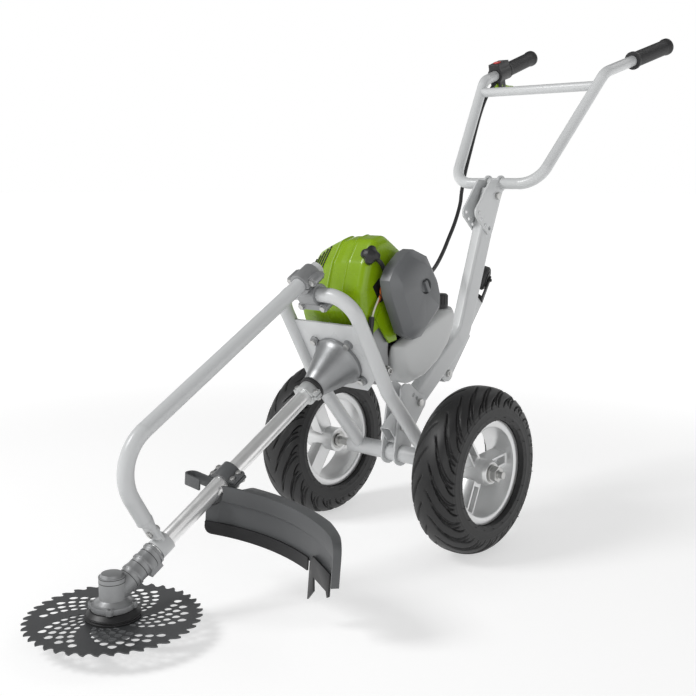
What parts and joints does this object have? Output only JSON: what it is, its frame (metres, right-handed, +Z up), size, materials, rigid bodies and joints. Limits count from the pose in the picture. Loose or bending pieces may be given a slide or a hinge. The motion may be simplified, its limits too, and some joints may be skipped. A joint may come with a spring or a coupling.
{
  "type": "wheeled string trimmer",
  "caption": "Two-wheel push brush cutter: engine on a tube frame, sloping drive shaft to a perforated saw-tooth blade, front guard hoop, debris guard and a tilting loop handle.",
  "frame": {"origin": "on the ground under the blade spindle, at the middle of the ground cup's flat foot", "axes": "+Z up, +Y back towards the operator, +X to the operator's left"},
  "size_m": [0.519, 1.4712, 0.9414],
  "materials": {
    "white_paint": "satin",
    "cast_aluminium": "cast",
    "bright_tube": "polished",
    "plain_steel": "zinc",
    "blade_steel": "dark",
    "tyre": "matte",
    "grip_rubber": "matte",
    "black_plastic": "matte",
    "grey_plastic": "satin",
    "green_plastic": "gloss",
    "tank_plastic": "satin",
    "red_plastic": "gloss"
  },
  "bodies": {
    "chassis": {"axle_tube": "white_paint", "axle_rod": "plain_steel", "axle_nuts": "plain_steel", "yoke_tube": "white_paint", "engine_plate": "white_paint", "mast_bracket": "white_paint", "clutch_housing": "cast_aluminium", "mount_ring": "grip_rubber", "shaft_collar": "cast_aluminium", "shaft_tube": "bright_tube", "gear_case": "cast_aluminium", "hoop_tube": "white_paint", "cross_clamp": "cast_aluminium", "hoop_saddle": "white_paint", "debris_guard": "grey_plastic", "guard_skirt": "black_plastic", "line_knife": "plain_steel", "guard_bracket": "cast_aluminium", "chassis_bolts": "plain_steel", "crankcase": "cast_aluminium", "engine_cylinder": "cast_aluminium", "engine_shroud": "green_plastic", "starter_housing": "black_plastic", "muffler": "blade_steel", "carburettor": "cast_aluminium", "filter_cover": "grey_plastic", "spark_plug": "grip_rubber", "engine_wiring": "grip_rubber", "fuel_tank": "tank_plastic", "throttle_cable_low": "black_plastic"},
    "left_wheel": {"left_tyre": "tyre", "left_rim": "cast_aluminium", "left_bearings": "plain_steel"},
    "right_wheel": {"right_tyre": "tyre", "right_rim": "cast_aluminium", "right_bearings": "plain_steel"},
    "cutter": {"saw_blade": "blade_steel", "blade_holder": "blade_steel", "spindle": "plain_steel", "ground_cup": "blade_steel"},
    "drive": {"drive_shaft": "plain_steel", "clutch_drum": "plain_steel"},
    "mast": {"mast_tube": "white_paint", "stand_bracket": "white_paint", "mast_bolts": "plain_steel", "throttle_cable_mid": "black_plastic"},
    "handle": {"handle_tube": "white_paint", "crossbar": "white_paint", "handle_plates": "white_paint", "left_grip": "grip_rubber", "right_grip": "grip_rubber", "switch_housing": "black_plastic", "throttle_cable_top": "black_plastic"},
    "trigger": {"throttle_trigger": "green_plastic"},
    "switch": {"stop_switch": "red_plastic"},
    "stand": {"stand_leg": "white_paint"},
    "swivel": {"caster_fork": "black_plastic"},
    "caster": {"caster_wheel": "grip_rubber"},
    "cap": {"fuel_cap": "black_plastic"},
    "knob": {"filter_knob": "grey_plastic"}
  },
  "joints": [
    {"name": "left_wheel_spin", "type": "hinge", "parent": "chassis", "child": "left_wheel", "pos_m": [0.179, 0.637, 0.1475], "axis": [1, 0, 0], "continuous": true},
    {"name": "right_wheel_spin", "type": "hinge", "parent": "chassis", "child": "right_wheel", "pos_m": [-0.179, 0.637, 0.1475], "axis": [1, 0, 0], "continuous": true},
    {"name": "blade_spin", "type": "hinge", "parent": "chassis", "child": "cutter", "pos_m": [0, 0, 0.03], "axis": [0, 0, 1], "continuous": true},
    {"name": "drive_spin", "type": "hinge", "parent": "chassis", "child": "drive", "pos_m": [0, 0, 0.062], "axis": [0, 0.866, 0.5], "continuous": true},
    {"name": "mast_tilt", "type": "hinge", "parent": "chassis", "child": "mast", "pos_m": [0, 0.637, 0.1975], "axis": [1, 0, 0], "range_deg": [0, 22], "deforming": ["throttle_cable_low"]},
    {"name": "handle_tilt", "type": "hinge", "parent": "mast", "child": "handle", "pos_m": [0, 0.93146, 0.61566], "axis": [1, 0, 0], "range_deg": [0, 42], "deforming": ["throttle_cable_mid"]},
    {"name": "throttle_pull", "type": "hinge", "parent": "handle", "child": "trigger", "pos_m": [-0.15146, 1.17752, 0.85316], "axis": [0.995, 0.1003, 0], "range_deg": [0, 10], "stiffness_Nm_per_rad": 0.3, "springref_deg": -5.73},
    {"name": "stop_switch_slide", "type": "slide", "parent": "handle", "child": "switch", "axis": [-0.096, 0.9519, 0.291], "range_m": [0, 0.01]},
    {"name": "stand_fold", "type": "hinge", "parent": "mast", "child": "stand", "pos_m": [-0.026, 0.81066, 0.27095], "axis": [1, 0, 0], "range_deg": [-140, 0]},
    {"name": "caster_swivel", "type": "hinge", "parent": "stand", "child": "swivel", "pos_m": [-0.026, 0.92379, 0.40578], "axis": [0, 0.6428, 0.766], "continuous": true},
    {"name": "caster_roll", "type": "hinge", "parent": "swivel", "child": "caster", "pos_m": [-0.01755, 0.9399, 0.4497], "axis": [0.8829, 0.3596, -0.3018], "continuous": true},
    {"name": "fuel_cap_turn", "type": "hinge", "parent": "chassis", "child": "cap", "pos_m": [0.052, 0.69796, 0.42109], "axis": [0, 0, 1], "range_deg": [0, 360]},
    {"name": "filter_knob_turn", "type": "hinge", "parent": "chassis", "child": "knob", "pos_m": [0.112, 0.58041, 0.46869], "axis": [1, 0, 0], "range_deg": [0, 180]}
  ],
  "couplings": [
    {"joint": "drive_spin", "follows": "blade_spin", "ratio": -1.3571}
  ]
}
